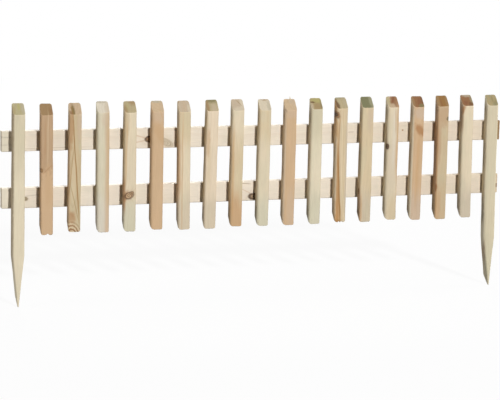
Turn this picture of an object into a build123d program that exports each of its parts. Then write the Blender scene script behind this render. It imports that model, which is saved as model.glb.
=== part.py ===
from build123d import *
import math
import os

# A low picket border panel: battens nailed side by side to the front of two rails,
# with a pointed stake at each end that is driven into the ground.
# +X runs along the fence, -Y is its front and +Z is up. The origin is on the front
# face of the left stake, on its centre line, at ground level.

# Rails
RAIL_LENGTH = 1200.0
RAIL_HEIGHT = 46.5
RAIL_THICKNESS = 18.0
RAIL_EDGE_RADIUS = 1.5
RAIL_LEFT_OVERHANG = 34.0     # from the rails' left ends to the left stake's centre line
RAIL_RIGHT_OVERHANG = 26.6    # from the right stake's centre line to the rails' right ends
UPPER_RAIL_DROP = 86.5        # from the top of the uprights to the upper rail's middle
RAIL_SPACING = 129.0          # between the middles of the two rails

# Uprights
UPRIGHT_COUNT = 19            # two stakes and the pickets between them
BATTEN_WIDTH = 28.0
BATTEN_DEPTH = 24.0
BATTEN_EDGE_RADIUS = 3.5
END_CUT_ANGLE = 45.0          # slope of the saw cuts, which fall towards the front
TOP_HEIGHT = 300.0            # highest edge of an upright above the ground
PICKET_LENGTH = 295.0
STAKE_LENGTH = 461.0
TAPER_LENGTH = 118.0          # pointed part of a stake
TIP_WIDTH = 3.0               # what is left of the batten's width at the point

# Hand nailing: how far a picket strays from its place, leans to the right, sits low and
# is cut long. The rows repeat when there are more pickets than entries.
PICKET_SHIFTS = (
    1.0, 1.6, 2.8, 1.8, 1.6, 1.9, 2.1, 0.5, 1.7,
    0.5, 0.7, -0.3, -0.8, -0.4, -1.1, -1.3, -1.1,
)
PICKET_LEANS = (
    0.0, 0.5, -0.1, 0.1, 0.1, -0.3, 0.7, 0.3, 0.4,
    0.2, 0.0, -0.3, 0.0, 0.0, 0.1, -0.2, -0.7,
)
PICKET_DROPS = (
    2.0, 1.5, -1.0, 0.0, 0.0, 1.0, 0.0, 0.0, 1.0,
    1.5, 0.5, 0.0, -0.5, 0.0, 0.5, 0.0, -0.5,
)
PICKET_EXTRAS = (
    1.0, -3.5, 2.5, 2.0, -0.5, 1.0, 2.0, -1.0, -1.0,
    -1.0, -0.5, -2.0, 0.0, -3.5, -1.5, -0.5, -2.0,
)
LEFT_STAKE_LEAN = 0.3         # the stakes lean about their ground line
RIGHT_STAKE_LEAN = -0.5

# Derived sizes
PITCH = (RAIL_LENGTH - RAIL_LEFT_OVERHANG - RAIL_RIGHT_OVERHANG) / (UPRIGHT_COUNT - 1)
CUT_RISE = BATTEN_DEPTH * math.tan(math.radians(END_CUT_ANGLE))
UPPER_RAIL_Z = TOP_HEIGHT - UPPER_RAIL_DROP
LOWER_RAIL_Z = UPPER_RAIL_Z - RAIL_SPACING
NAILING_Z = (UPPER_RAIL_Z + LOWER_RAIL_Z) / 2


def batten(bottom: float, top: float) -> Part:
    """Return a planed batten with rounded long edges, sawn at a slope at both ends."""
    section = Pos(0, BATTEN_DEPTH / 2, bottom) * RectangleRounded(
        BATTEN_WIDTH, BATTEN_DEPTH, BATTEN_EDGE_RADIUS
    )
    side = Polyline(
        (0, bottom),
        (BATTEN_DEPTH, bottom + CUT_RISE),
        (BATTEN_DEPTH, top),
        (0, top - CUT_RISE),
        close=True,
    )
    slab = extrude(Plane.YZ * make_face(side), BATTEN_WIDTH, both=True)
    return extrude(section, top - bottom) & slab


def stake(place: float, lean: float) -> Part:
    """Return an end stake in its place: a longer batten with its lower end cut to a point."""
    bottom = TOP_HEIGHT - STAKE_LENGTH
    shoulder = bottom + TAPER_LENGTH
    half = BATTEN_WIDTH / 2
    front = Polyline(
        (-TIP_WIDTH / 2, bottom),
        (TIP_WIDTH / 2, bottom),
        (half, shoulder),
        (half, TOP_HEIGHT),
        (-half, TOP_HEIGHT),
        (-half, shoulder),
        close=True,
    )
    blade = extrude(Plane.XZ * make_face(front), 2 * BATTEN_DEPTH, both=True)
    return Pos(place, 0, 0) * Rot(0, lean, 0) * (batten(bottom, TOP_HEIGHT) & blade)


def picket(index: int) -> Part:
    """Return picket number index, counted from 1 beside the left stake, in its place."""
    shift = PICKET_SHIFTS[(index - 1) % len(PICKET_SHIFTS)]
    lean = PICKET_LEANS[(index - 1) % len(PICKET_LEANS)]
    top = TOP_HEIGHT - PICKET_DROPS[(index - 1) % len(PICKET_DROPS)]
    length = PICKET_LENGTH + PICKET_EXTRAS[(index - 1) % len(PICKET_EXTRAS)]
    nailed = Pos(index * PITCH + shift, 0, NAILING_Z) * Rot(0, lean, 0)
    return nailed * Pos(0, 0, -NAILING_Z) * batten(top - length, top)


def rail(middle: float) -> Part:
    """Return a rail behind the uprights, with its middle at the given height."""
    section = RectangleRounded(RAIL_THICKNESS, RAIL_HEIGHT, RAIL_EDGE_RADIUS)
    board = extrude(Plane.YZ * section, RAIL_LENGTH)
    return Pos(-RAIL_LEFT_OVERHANG, BATTEN_DEPTH + RAIL_THICKNESS / 2, middle) * board


def fence() -> dict[str, Part]:
    """Return every piece of the panel under its node name."""
    pieces = {
        "left_stake": stake(0, LEFT_STAKE_LEAN),
        "right_stake": stake((UPRIGHT_COUNT - 1) * PITCH, RIGHT_STAKE_LEAN),
        "upper_rail": rail(UPPER_RAIL_Z),
        "lower_rail": rail(LOWER_RAIL_Z),
    }
    for index in range(1, UPRIGHT_COUNT - 1):
        pieces[f"picket_{index:02d}"] = picket(index)
    return pieces


os.makedirs("parts", exist_ok=True)
for name, piece in fence().items():
    solid = piece.solid()
    solid.label = name
    export_step(solid, f"parts/{name}.step")
    print(name, round(solid.volume / 1000, 1), "cm3", solid.is_valid)
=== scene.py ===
"""Looks of a low picket border panel in planed, pressure-treated pine.

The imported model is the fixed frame. Each upright and each rail is rebuilt over its solid as a
finely divided bar with worn edges and rough saw cuts, and takes a finish grown from its own
rings, knots and stains. Nail heads and torn fibres are scattered by geometry nodes.
"""
import logging
import math
from dataclasses import dataclass, field
from enum import Enum
from typing import Any, Mapping, Optional, Sequence, Union

import bmesh
import bpy
from mathutils import Matrix, Vector, noise


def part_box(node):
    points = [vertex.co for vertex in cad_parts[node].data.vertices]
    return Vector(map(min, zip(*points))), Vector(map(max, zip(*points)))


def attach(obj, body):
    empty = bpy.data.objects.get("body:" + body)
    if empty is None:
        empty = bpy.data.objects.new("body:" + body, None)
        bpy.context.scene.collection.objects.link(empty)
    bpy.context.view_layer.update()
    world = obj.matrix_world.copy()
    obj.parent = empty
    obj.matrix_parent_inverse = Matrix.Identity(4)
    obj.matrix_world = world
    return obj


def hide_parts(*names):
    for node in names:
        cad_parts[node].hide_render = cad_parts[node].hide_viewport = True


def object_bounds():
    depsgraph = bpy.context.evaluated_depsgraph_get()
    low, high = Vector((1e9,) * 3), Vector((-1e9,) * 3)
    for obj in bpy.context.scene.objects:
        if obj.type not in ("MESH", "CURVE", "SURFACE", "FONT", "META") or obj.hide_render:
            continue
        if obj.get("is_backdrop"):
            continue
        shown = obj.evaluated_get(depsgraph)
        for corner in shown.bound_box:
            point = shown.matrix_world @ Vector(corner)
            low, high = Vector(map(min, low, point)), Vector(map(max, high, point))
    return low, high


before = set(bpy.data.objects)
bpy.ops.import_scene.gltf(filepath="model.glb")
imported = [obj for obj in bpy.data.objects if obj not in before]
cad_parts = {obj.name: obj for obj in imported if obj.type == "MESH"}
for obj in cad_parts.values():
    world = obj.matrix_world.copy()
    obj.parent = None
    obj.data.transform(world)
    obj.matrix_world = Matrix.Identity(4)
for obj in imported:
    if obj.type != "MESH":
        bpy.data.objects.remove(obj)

LOG = logging.getLogger("border_panel")
MM = 0.001

# Sections near an end, counted from it, and the rings that close it, in shares of the section.
END_STATIONS = (0.0, 0.35 * MM, 0.9 * MM, 2.0 * MM, 4.0 * MM, 7.0 * MM)
CAP_RINGS = (0.86, 0.62, 0.3)
MERGE_DISTANCE = 0.02 * MM
SHARP_ANGLE = math.radians(40)
BATTEN_WIDTH = 28.0 * MM

# How far the tip of each stake has bowed to the right.
STAKE_BOWS = {"left_stake": 0.0, "right_stake": 3.2 * MM}

# The first seed and the step to the next.
UPRIGHT_SEEDS = (1.0, 3.7)
RAIL_SEEDS = (83.0, 5.3)

# The two nails of a crossing, in mm to the right of its middle and above it.
NAIL_PLACES = ((-6.0, 10.0), (6.0, -11.0))
NAIL_JITTER = 2.0 * MM
NAIL_SEED = 4

# Fibres stand just inside the rim of a cut. The splinter's place is across and in from the back.
FIBRE_INSET = 0.98
SPLINTER_PLACE = (3.5 * MM, 1.5 * MM)
SPLINTER_LENGTH = 8.0 * MM

FLOOR_GAP = 0.2 * MM

Number = Union["Wire", float]
Place = tuple["Wire", "Wire", "Wire"]
Colour = tuple[float, float, float, float]


class Tone(Enum):
    """Colours of the timber and its fittings, and one painted shade, as display values from 0 to 255.
    """

    CREAM = (227, 211, 182)
    PALE_CREAM = (230, 217, 189)
    PINK_CREAM = (232, 213, 186)
    GREEN_CREAM = (215, 203, 174)
    PALE_GREEN = (214, 206, 180)
    GREEN_WHITE = (219, 209, 183)
    CHALK = (222, 212, 196)
    HONEY = (217, 197, 162)
    STRAW = (205, 185, 149)
    CLAY = (204, 184, 150)
    ROSE_CLAY = (206, 182, 156)
    GREY_BEIGE = (206, 191, 168)
    DRY_CREAM = (206, 190, 163)
    GREY_CREAM = (215, 199, 173)
    TAN = (209, 177, 140)
    BUFF = (203, 168, 128)
    PINK_BROWN = (192, 160, 126)
    ORANGE_BROWN = (198, 154, 104)
    GOLDEN_BROWN = (160, 116, 62)
    RUST = (172, 124, 80)
    LATE_WOOD = (178, 138, 92)
    # Painted shade: a dark tone laid over the left stake's left side, where the side lamp shines
    # unshaded.
    PAINTED_SIDE_SHADE = (147, 127, 99)
    RAIL_CREAM = (234, 223, 206)
    RAIL_PINK = (234, 219, 202)
    RAIL_SHADE = (227, 213, 193)
    RAIL_LATE = (210, 188, 160)
    CUT_YELLOW = (175, 165, 128)
    CUT_LIME = (172, 166, 98)
    CUT_OLIVE = (164, 148, 110)
    CUT_MOSS = (124, 116, 80)
    CUT_PEAT = (120, 100, 58)
    CUT_GREEN = (118, 117, 86)
    CUT_SAGE = (150, 146, 118)
    CUT_STONE = (178, 168, 146)
    CUT_BEIGE = (188, 171, 147)
    CUT_PINK = (190, 167, 138)
    CUT_TAN = (196, 172, 140)
    CUT_CREAM = (206, 194, 170)
    CUT_WHITE = (212, 203, 184)
    CUT_KHAKI = (174, 160, 126)
    CUT_BROWN = (150, 123, 88)
    CUT_AMBER = (142, 106, 62)
    CUT_RUST = (138, 100, 68)
    CUT_RED = (128, 86, 60)
    CUT_UMBER = (104, 76, 52)
    TREATMENT = (200, 199, 168)
    KNOT_HEART = (146, 102, 66)
    KNOT_RING = (94, 68, 48)
    KNOT_BARK = (66, 44, 32)
    ZINC = (150, 152, 150)

    @property
    def linear(self) -> Colour:
        """Turn the tone into linear light.

        Returns:
            Red, green and blue from 0 to 1, with full alpha.
        """
        parts = [channel / 255 for channel in self.value]
        light = [p / 12.92 if p <= 0.04045 else ((p + 0.055) / 1.055) ** 2.4 for p in parts]
        return (light[0], light[1], light[2], 1.0)


class Face(Enum):
    """The faces that a knot, a streak or a patch shows on."""

    FRONT = "front"
    SIDE = "side"
    CUT = "cut"


class Lumps(Enum):
    """Noise in the timber: lumps per mm across, behind the front and along."""

    RING_WANDER = (0.02, 0.02, 0.007)
    TINT = (0.05, 0.05, 0.014)
    FIBRE = (1.7, 1.7, 0.035)
    CANAL = (2.6, 2.6, 0.09)
    SAW_MARK = (0.4, 1.3, 1.3)
    CUT_TINT = (0.11, 0.11, 0.0)
    KNOT_EDGE = (0.22, 0.22, 0.22)
    PATCH_EDGE = (0.2, 0.2, 0.1)


class Wire:
    """An output of a node, which Python's operators turn into Math nodes."""

    def __init__(self, graph: "Graph", socket: bpy.types.NodeSocket) -> None:
        """Keep the graph and the output socket."""
        self.graph = graph
        self.socket = socket

    def __add__(self, other: Number) -> "Wire":
        """Add a number or a wire."""
        return self.graph.math("ADD", self, other)

    def __radd__(self, other: Number) -> "Wire":
        """Add to a number."""
        return self.graph.math("ADD", other, self)

    def __sub__(self, other: Number) -> "Wire":
        """Subtract a number or a wire."""
        return self.graph.math("SUBTRACT", self, other)

    def __rsub__(self, other: Number) -> "Wire":
        """Subtract from a number."""
        return self.graph.math("SUBTRACT", other, self)

    def __mul__(self, other: Number) -> "Wire":
        """Multiply by a number or a wire."""
        return self.graph.math("MULTIPLY", self, other)

    def __rmul__(self, other: Number) -> "Wire":
        """Multiply a number."""
        return self.graph.math("MULTIPLY", other, self)

    def __truediv__(self, other: Number) -> "Wire":
        """Divide by a number or a wire."""
        return self.graph.math("DIVIDE", self, other)

    def __rtruediv__(self, other: Number) -> "Wire":
        """Divide a number."""
        return self.graph.math("DIVIDE", other, self)

    def __neg__(self) -> "Wire":
        """Change the sign."""
        return self.graph.math("MULTIPLY", self, -1.0)

    def __abs__(self) -> "Wire":
        """Drop the sign."""
        return self.graph.math("ABSOLUTE", self)


class Made:
    """A node just added, whose outputs are read by name or number."""

    def __init__(self, graph: "Graph", node: bpy.types.Node) -> None:
        """Keep the graph and the node."""
        self.graph = graph
        self.node = node

    def __getitem__(self, output: Union[str, int]) -> Wire:
        """Return one output as a wire."""
        return Wire(self.graph, self.node.outputs[output])


class Graph:
    """A node tree under construction."""

    def __init__(self, tree: bpy.types.NodeTree) -> None:
        """Start on an emptied tree."""
        self.tree = tree
        self.tree.nodes.clear()

    def node(
        self,
        kind: str,
        settings: Optional[Mapping[str, Any]] = None,
        sockets: Optional[Mapping[Union[str, int], Any]] = None,
    ) -> Made:
        """Add a node.

        Args:
            kind: the node's type.
            settings: its properties, set first; stops are a ramp's positions and values.
            sockets: a value, a wire or a list of wires for each input.

        Returns:
            The node, ready to read its outputs.
        """
        node = self.tree.nodes.new(kind)
        for name, value in (settings or {}).items():
            if name == "stops":
                ramp = node.color_ramp.elements
                while len(ramp) < len(value):
                    ramp.new(1.0)
                for element, (position, level) in zip(ramp, value):
                    element.position = position
                    element.color = (level, level, level, 1.0)
            else:
                setattr(node, name, value)
        for name, value in (sockets or {}).items():
            for item in value if isinstance(value, list) else [value]:
                if isinstance(item, Wire):
                    self.tree.links.new(item.socket, node.inputs[name])
                else:
                    node.inputs[name].default_value = item
        return Made(self, node)

    def math(self, operation: str, *values: Number) -> Wire:
        """Return the result of one Math node on the given values."""
        return self.node("ShaderNodeMath", {"operation": operation}, dict(enumerate(values)))["Value"]

    def step(self, value: Wire, low: float, high: float) -> Wire:
        """Return 0 to 1 as the value goes from low to high, smoothly."""
        return self.node(
            "ShaderNodeMapRange",
            {"interpolation_type": "SMOOTHSTEP"},
            {"Value": value, "From Min": low, "From Max": high},
        )["Result"]

    def bell(self, distance: Wire) -> Wire:
        """Return a bell curve of a distance: 1 at 0 and nearly nothing at 2."""
        return self.math("EXPONENT", -(distance * distance))

    def vector(self, x: Number, y: Number, z: Number) -> Wire:
        """Return a vector of three values."""
        return self.node("ShaderNodeCombineXYZ", {}, {"X": x, "Y": y, "Z": z})["Vector"]

    def split(self, vector: Wire) -> tuple[Wire, Wire, Wire]:
        """Return the three values of a vector."""
        made = self.node("ShaderNodeSeparateXYZ", {}, {"Vector": vector})
        return made["X"], made["Y"], made["Z"]

    def mix(self, share: Number, first: Union[Wire, Colour], second: Union[Wire, Colour]) -> Wire:
        """Return a colour between two, at the given share of the second."""
        return self.node(
            "ShaderNodeMix", {"data_type": "RGBA"}, {0: share, 6: first, 7: second}
        )[2]

    def shade(self, colour: Wire, level: Wire) -> Wire:
        """Return a colour made lighter or darker by a level near 1."""
        return self.node(
            "ShaderNodeVectorMath", {"operation": "SCALE"}, {"Vector": colour, "Scale": level}
        )["Vector"]

    def cloud(self, x: Number, y: Number, z: Number, detail: float = 2.0) -> Made:
        """Return noise at a point, one unit to a lump."""
        return self.node(
            "ShaderNodeTexNoise", {}, {"Vector": self.vector(x, y, z), "Scale": 1.0, "Detail": detail}
        )


@dataclass(frozen=True)
class Knot:
    """A branch cut through by a face.

    Attributes:
        across: place across the face in mm, from its middle, or from the front edge of a side.
        along: height above the ground, or place along a rail, in mm.
        radius: half its width in mm.
        stretch: its length along the grain over its width.
        dark: how dark it is, from 0 to 1.
        face: the face that it shows on.
        whorls: number of dark rings inside it.
        lean: how far its rings lean across per mm along.
        spiral: arms of a swirl, where its rings don't close.
        rim: how strongly bark surrounds it, from 0 to 1.
        bold: how much its dark rings outgrow the pale ones, from 0 to 1.
        line: tone of its rings.
        body: tone between its rings.
    """

    across: float
    along: float
    radius: float
    stretch: float = 1.2
    dark: float = 0.8
    face: Face = Face.FRONT
    whorls: float = 2.0
    lean: float = 0.0
    spiral: float = 0.0
    rim: float = 0.8
    bold: float = 0.0
    line: Tone = Tone.KNOT_BARK
    body: Tone = Tone.LATE_WOOD


@dataclass(frozen=True)
class Streak:
    """A stain that runs with the grain.

    Attributes:
        across: place across the face in mm, at its lower end.
        start: its lower end, in mm above the ground or along a rail.
        end: its upper end.
        width: half its width in mm.
        drift: how far it wanders across, in mm, from start to end.
        strength: how strong it is, from 0 to 1.
        tone: its colour.
        face: the face that it shows on.
    """

    across: float
    start: float
    end: float
    width: float
    drift: float = 0.0
    strength: float = 0.6
    tone: Tone = Tone.LATE_WOOD
    face: Face = Face.FRONT


@dataclass(frozen=True)
class Patch:
    """A soft-edged area of another tone; one of them is painted shade.

    Attributes:
        across: place across the face in mm, from its middle, or from the front edge of a side.
        along: height above the ground, place along a rail, or distance up a cut in mm.
        wide: half its width in mm.
        tall: half its height in mm.
        tone: its colour.
        strength: how strong it is, from 0 to 1.
        face: the face that it shows on.
        slant: how far it leans across per mm along.
        soft: how soft its edge is, in shares of its size.
    """

    across: float
    along: float
    wide: float
    tall: float
    tone: Tone
    strength: float = 0.7
    face: Face = Face.CUT
    slant: float = 0.0
    soft: float = 0.5


@dataclass(frozen=True)
class Notch:
    """A place where the lower saw cut broke out.

    Attributes:
        across: place across the face in mm, from its middle.
        width: half its width in mm.
        deep: how far it reaches up in mm.
    """

    across: float
    width: float
    deep: float


@dataclass(frozen=True)
class Timber:
    """How one piece was cut from its log, and what shows on it.

    Attributes:
        sap: tone of the outer wood.
        heart: tone of the wood near the pith.
        head: tone towards the upper end, where it differs.
        foot: tone towards the lower end, where it differs.
        cut: tone of the saw cuts.
        cut_rim: tone of the saw cuts towards their rims.
        pith: where the log's centre passes, in mm across from the middle and behind the front.
        tilt: how far the pith moves across and back, per mm along.
        heart_radius: radius of the heartwood in mm.
        blend: half the width of the change from heartwood to sapwood in mm.
        ring: width of a year's growth in mm.
        contrast: how strongly the late wood shows.
        green: how strongly the treatment tints the wood.
        late: tone of the late wood.
        knots: the knots that show.
        streaks: the stains that show.
        patches: the areas of another tone.
        notches: the breaks in the lower saw cut.
        torn_top: how far the upper saw cut is torn in mm.
        torn_bottom: how far the lower saw cut is torn in mm.
        edge: radius of the long edges in mm.
        left_edge: radius of the front edge on the left in mm.
    """

    sap: Tone = Tone.CREAM
    heart: Tone = Tone.TAN
    head: Optional[Tone] = None
    foot: Optional[Tone] = None
    cut: Tone = Tone.CUT_OLIVE
    cut_rim: Optional[Tone] = None
    pith: tuple[float, float] = (70.0, 35.0)
    tilt: tuple[float, float] = (0.02, 0.0)
    heart_radius: float = 0.0
    blend: float = 4.0
    ring: float = 6.5
    contrast: float = 0.18
    green: float = 0.2
    late: Tone = Tone.LATE_WOOD
    knots: tuple[Knot, ...] = ()
    streaks: tuple[Streak, ...] = ()
    patches: tuple[Patch, ...] = ()
    notches: tuple[Notch, ...] = ()
    torn_top: float = 0.5
    torn_bottom: float = 0.7
    edge: float = 4.2
    left_edge: float = 5.0


@dataclass(frozen=True)
class PineFinish:
    """Planed, treated pine whose grain follows the rings of its own log.

    Attributes:
        timber: what shows on the piece.
        origin: the piece's lower end, on the middle of its front face, in m.
        turn: angle of the grain from upright, about Y, in radians.
        seed: moves the noise, so that no two pieces match.
        length: length of the piece in mm.
        section: size across and from front to back in mm.
        cut_axis: number of the axis that the saw cuts face.
        side_band: place across in mm where marks of the left side begin, and where they are full.
        front_band: depth in mm where marks of the front begin, and where they are full.
        head_band: share of the length where the head's tone begins, and where it is full.
        foot_band: share of the length where the foot's tone begins, and where it is full.
        upper_band: share of the length past which a saw cut counts as the upper one.
        ring_sway: how far the rings wander across and back in mm.
        streak_sway: how far a streak wanders across in mm.
        streak_lump: lumps of that wander per mm along.
        knot_rim: where a knot's bark lies, in radii.
    """

    timber: Timber
    origin: Vector
    turn: float
    seed: float
    length: float
    section: tuple[float, float]
    cut_axis: int = 2
    side_band: tuple[float, float] = (-9.0, -12.5)
    front_band: tuple[float, float] = (7.0, 2.5)
    head_band: tuple[float, float] = (0.62, 0.86)
    foot_band: tuple[float, float] = (0.38, 0.14)
    upper_band: tuple[float, float] = (0.4, 0.6)
    ring_sway: tuple[float, float] = (14.0, 9.0)
    streak_sway: float = 3.0
    streak_lump: float = 0.02
    knot_rim: float = 0.95

    def material(self, name: str) -> bpy.types.Material:
        """Build the finish.

        Args:
            name: name of the material.

        Returns:
            The material.
        """
        made = bpy.data.materials.new(name)
        made.use_nodes = True
        graph = Graph(made.node_tree)
        coordinates = graph.node("ShaderNodeTexCoord")
        local = graph.node(
            "ShaderNodeMapping",
            {"vector_type": "TEXTURE"},
            {
                "Vector": coordinates["Object"],
                "Location": tuple(self.origin),
                "Rotation": (0.0, self.turn, 0.0),
                "Scale": (MM, MM, MM),
            },
        )["Vector"]
        place = graph.split(local)
        sawn = graph.step(abs(graph.split(coordinates["Normal"])[self.cut_axis]), 0.35, 0.55)
        fields = [self.knot_field(graph, knot, place) for knot in self.timber.knots]
        knots = [distance for distance, _ in fields]
        radius, grain = self.rings(graph, place, knots)
        fibre = self.lumps(graph, place, Lumps.FIBRE, (self.seed, 0.0, 0.0), 3.0)["Fac"]
        colour = self.body_colour(graph, place, radius, grain, fibre, knots)
        saw = self.lumps(graph, place, Lumps.SAW_MARK, (self.seed, 0.0, 0.0), 4.0)["Fac"]
        colour = graph.mix(sawn, colour, self.cut_colour(graph, place, grain, saw))
        colour = self.patched(graph, colour, place, sawn)
        colour = graph.shade(colour, 1.0 + sawn * (saw * 0.4 - 0.16))
        colour = self.stained(graph, colour, place)
        colour = self.knotted(graph, colour, fields)
        height = grain * 0.2 + fibre * 0.5 + saw * sawn * 1.4
        bump = graph.node(
            "ShaderNodeBump", {}, {"Strength": 0.5, "Distance": 0.3 * MM, "Height": height}
        )["Normal"]
        surface = graph.node(
            "ShaderNodeBsdfPrincipled",
            {},
            {
                "Base Color": colour,
                "Roughness": 0.58 + fibre * 0.14 + sawn * 0.16,
                "Specular IOR Level": 0.25,
                "Normal": bump,
            },
        )
        graph.node("ShaderNodeOutputMaterial", {}, {"Surface": surface["BSDF"]})
        return made

    def lift(self, along: float) -> float:
        """Return a height above the ground, or a place along a rail, counted from the origin."""
        return along - self.origin[self.cut_axis] / MM

    def lumps(
        self,
        graph: Graph,
        place: Place,
        scale: Lumps,
        shift: tuple[float, float, float],
        detail: float = 2.0,
    ) -> Made:
        """Return noise that runs with the grain.

        Args:
            graph: the tree being built.
            place: across, behind the front and along, in mm.
            scale: how large its lumps are.
            shift: moves it, so that no two patterns match.
            detail: how many finer layers it has.

        Returns:
            The noise, as a factor and as a colour.
        """
        x, y, z = (
            value * factor + offset for value, factor, offset in zip(place, scale.value, shift)
        )
        return graph.cloud(x, y, z, detail)

    def knot_field(self, graph: Graph, knot: Knot, place: Place) -> tuple[Wire, Wire]:
        """Measure how far a point is from a knot, with 1 at its rim.

        Args:
            graph: the tree being built.
            knot: the knot.
            place: across, behind the front and along, in mm.

        Returns:
            The distance in radii, a little uneven, and the angle about the knot.
        """
        across, depth, along = place
        above = along - self.lift(knot.along)
        aside = (across if knot.face is Face.FRONT else depth) - knot.across - above * knot.lean
        sideways = aside / knot.radius
        lengthways = above / (knot.radius * knot.stretch)
        rough = self.lumps(graph, place, Lumps.KNOT_EDGE, (0.0, self.seed, 0.0))["Fac"]
        distance = graph.math("SQRT", sideways * sideways + lengthways * lengthways)
        if knot.face is Face.SIDE:
            distance = distance + graph.math("MAXIMUM", across + 10.0, 0.0) * 0.2
        uneven = min(0.6, 3.6 / knot.radius)
        return distance + (rough - 0.5) * uneven, graph.math("ARCTAN2", lengthways, sideways)

    def rings(self, graph: Graph, place: Place, knots: Sequence[Wire]) -> tuple[Wire, Wire]:
        """Grow the year rings about the pith.

        Args:
            graph: the tree being built.
            place: across, behind the front and along, in mm.
            knots: distance from each knot in radii.

        Returns:
            The distance from the pith in mm, and the late wood from 0 to 1.
        """
        across, depth, along = place
        wander = self.lumps(graph, place, Lumps.RING_WANDER, (self.seed, 0.0, 0.0))["Color"]
        sway, roll, _ = graph.split(wander)
        (pith, behind_pith), (tilt, tilt_back) = self.timber.pith, self.timber.tilt
        offset = across - pith - along * tilt + (sway - 0.5) * self.ring_sway[0]
        behind = depth - behind_pith - along * tilt_back + (roll - 0.5) * self.ring_sway[1]
        radius = graph.math("SQRT", offset * offset + behind * behind)
        for distance, knot in zip(knots, self.timber.knots):
            radius = radius + graph.bell(distance * 0.5) * (knot.radius * 1.3)
        years = radius / self.timber.ring
        position = graph.math("FRACT", years)
        late = graph.node(
            "ShaderNodeValToRGB",
            {"stops": ((0.0, 0.3), (0.1, 0.0), (0.45, 0.08), (0.8, 0.75), (0.93, 1.0), (1.0, 0.3))},
            {"Fac": position},
        )["Color"]
        year = graph.math("FLOOR", years)
        season = graph.node(
            "ShaderNodeTexWhiteNoise", {"noise_dimensions": "1D"}, {"W": year + self.seed}
        )
        return radius, late * (season["Value"] * 0.8 + 0.2)

    def body_colour(
        self,
        graph: Graph,
        place: Place,
        radius: Wire,
        grain: Wire,
        fibre: Wire,
        knots: Sequence[Wire],
    ) -> Wire:
        """Colour the planed faces.

        Args:
            graph: the tree being built.
            place: across, behind the front and along, in mm.
            radius: distance from the pith in mm.
            grain: late wood from 0 to 1.
            fibre: fine streaks along the grain.
            knots: distance from each knot in radii.

        Returns:
            The colour before stains and knots.
        """
        along = place[2]
        timber = self.timber
        lumps = self.lumps(graph, place, Lumps.TINT, (0.0, self.seed, 0.0))["Color"]
        tint, light, edge = graph.split(lumps)
        limit = timber.heart_radius
        heart = graph.step(radius + (edge - 0.5) * 8.0, limit + timber.blend, limit - timber.blend)
        colour = graph.mix(heart, timber.sap.linear, timber.heart.linear)
        uneven = (edge - 0.5) * 60.0 + (fibre - 0.5) * 40.0
        if timber.head:
            start, full = self.head_band
            share = graph.step(along + uneven, self.length * start, self.length * full)
            colour = graph.mix(share, colour, timber.head.linear)
        if timber.foot:
            start, full = self.foot_band
            share = graph.step(along + uneven, self.length * start, self.length * full)
            colour = graph.mix(share, colour, timber.foot.linear)
        green = graph.step(tint, 0.42, 0.68) * timber.green * (1 - heart * 0.8)
        colour = graph.mix(green, colour, Tone.TREATMENT.linear)
        figure = grain * timber.contrast
        for distance, knot in zip(knots, timber.knots):
            figure = figure + grain * graph.bell(distance * 0.7) * (0.35 * knot.dark)
        colour = graph.mix(figure, colour, timber.late.linear)
        canal = self.lumps(graph, place, Lumps.CANAL, (0.0, self.seed, 0.0))["Fac"]
        colour = graph.mix(graph.step(canal, 0.64, 0.8) * 0.22, colour, timber.late.linear)
        return graph.shade(colour, 0.77 + fibre * 0.32 + light * 0.14)

    def stained(self, graph: Graph, colour: Wire, place: Place) -> Wire:
        """Add the stains that run with the grain.

        Args:
            graph: the tree being built.
            colour: the colour so far.
            place: across, behind the front and along, in mm.

        Returns:
            The stained colour.
        """
        across, depth, along = place
        for streak in self.timber.streaks:
            start, end = self.lift(streak.start), self.lift(streak.end)
            slope = streak.drift / (end - start)
            lump = along * self.streak_lump + streak.across
            sway = (graph.cloud(lump, self.seed, streak.start)["Fac"] - 0.5) * self.streak_sway
            side = across if streak.face is Face.FRONT else depth
            middle = side - streak.across - (along - start) * slope - sway
            fade = (end - start) * 0.18
            begun = graph.step(along, start - fade, start + fade)
            reach = begun * graph.step(along, end + fade, end - fade)
            share = graph.bell(middle / streak.width) * reach * streak.strength
            if streak.face is Face.SIDE:
                share = share * graph.step(across, *self.side_band)
            colour = graph.mix(share, colour, streak.tone.linear)
        return colour

    def patched(self, graph: Graph, colour: Wire, place: Place, sawn: Wire) -> Wire:
        """Add the areas of another tone.

        Args:
            graph: the tree being built.
            colour: the colour so far.
            place: across, behind the front and along, in mm.
            sawn: 1 on the saw cuts and 0 elsewhere.

        Returns:
            The colour with its patches.
        """
        across, depth, along = place
        for patch in self.timber.patches:
            if patch.face is Face.CUT:
                aside, above = across - patch.across, depth - patch.along
                start, full = self.upper_band
                seen = sawn * graph.step(along, self.length * start, self.length * full)
            elif patch.face is Face.SIDE:
                aside, above = depth - patch.across, along - self.lift(patch.along)
                seen = graph.step(across, *self.side_band) * (1 - sawn)
            else:
                aside, above = across - patch.across, along - self.lift(patch.along)
                seen = graph.step(depth, *self.front_band) * (1 - sawn)
            sideways = (aside - above * patch.slant) / patch.wide
            lengthways = above / patch.tall
            shift = (0.0, patch.along, self.seed)
            rough = self.lumps(graph, place, Lumps.PATCH_EDGE, shift)["Fac"]
            distance = graph.math("SQRT", sideways * sideways + lengthways * lengthways)
            reach = distance + (rough - 0.5)
            share = graph.step(reach, 1.0 + patch.soft, 1.0 - patch.soft) * seen * patch.strength
            colour = graph.mix(share, colour, patch.tone.linear)
        return colour

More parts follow.
